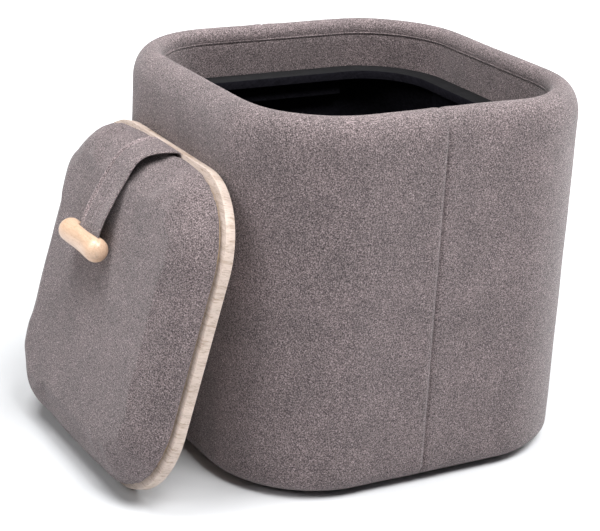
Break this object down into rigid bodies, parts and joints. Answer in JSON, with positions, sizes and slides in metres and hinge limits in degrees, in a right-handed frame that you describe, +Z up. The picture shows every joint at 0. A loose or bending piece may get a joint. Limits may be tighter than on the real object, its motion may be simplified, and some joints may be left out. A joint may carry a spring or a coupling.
{
  "type": "ottoman with storage",
  "caption": "Fabric-covered rounded cube ottoman with a storage well; the padded lid on an oak board lifts off by a strap and toggle, shown leaning on its side.",
  "frame": {"origin": "on the floor under the centre of the box, 3.3 mm below the middle of the base's flat underside", "axes": "+Z up; -X is the side the lid leans against; -Y is the side with the seam down its middle that faces the viewer"},
  "size_m": [0.5233, 0.4, 0.39],
  "materials": {
    "upholstery": "nubby woven pile in taupe grey, light and dark flecks, matt",
    "foam": "soft open-cell upholstery foam",
    "wall_board": "plain fibreboard, unpainted",
    "oak_board": "pale oak, satin, fine straight grain",
    "toggle_wood": "turned beech, smooth satin lacquer",
    "black_board": "board painted matt black",
    "black_lining": "black non-woven lining",
    "glide_plastic": "moulded black plastic",
    "screw_steel": "zinc-plated wood screw"
  },
  "bodies": {
    "box": {"base_glide_front_left": "glide_plastic", "base_glide_front_right": "glide_plastic", "base_glide_back_left": "glide_plastic", "base_glide_back_right": "glide_plastic", "dust_cover": "black_lining", "bottom_panel": "wall_board", "wall_front": "wall_board", "wall_back": "wall_board", "wall_left": "wall_board", "wall_right": "wall_board", "corner_shell_front_left": "wall_board", "corner_shell_front_right": "wall_board", "corner_shell_back_left": "wall_board", "corner_shell_back_right": "wall_board", "side_foam_front": "foam", "side_foam_back": "foam", "side_foam_left": "foam", "side_foam_right": "foam", "corner_foam_front_left": "foam", "corner_foam_front_right": "foam", "corner_foam_back_left": "foam", "corner_foam_back_right": "foam", "cover_left": "upholstery", "cover_right": "upholstery", "recess_band": "upholstery", "ledge_ring": "black_board", "ledge_cleat_front": "black_board", "ledge_cleat_back": "black_board", "ledge_cleat_left": "black_board", "ledge_cleat_right": "black_board", "liner_floor": "black_lining", "liner_sleeve": "black_lining"},
    "strap_anchor": {"strap_anchor_rod": "wall_board"},
    "lid": {"lid_board": "oak_board", "pad_base": "wall_board", "pad_foam": "foam", "pad_cover": "upholstery", "strap_root": "upholstery", "lid_screw_1": "screw_steel", "lid_screw_2": "screw_steel", "lid_screw_3": "screw_steel", "lid_screw_4": "screw_steel"},
    "strap_handle": {"strap": "upholstery", "toggle": "toggle_wood"}
  },
  "joints": [
    {"name": "lid_carry", "type": "hinge", "parent": "box", "child": "strap_anchor", "pos_m": [-0.05563, 0, 0.38262], "axis": [0, 1, 0], "range_deg": [0, 219]},
    {"name": "lid_turn", "type": "hinge", "parent": "strap_anchor", "child": "lid", "pos_m": [-0.2208, 0, 0.29097], "axis": [0, 1, 0], "range_deg": [-143.41, 0]},
    {"name": "strap_lift", "type": "hinge", "parent": "lid", "child": "strap_handle", "pos_m": [-0.25309, 0, 0.31174], "axis": [0, 1, 0], "range_deg": [0, 90]}
  ],
  "couplings": [
    {"joint": "lid_turn", "follows": "lid_carry", "ratio": -0.6548}
  ]
}
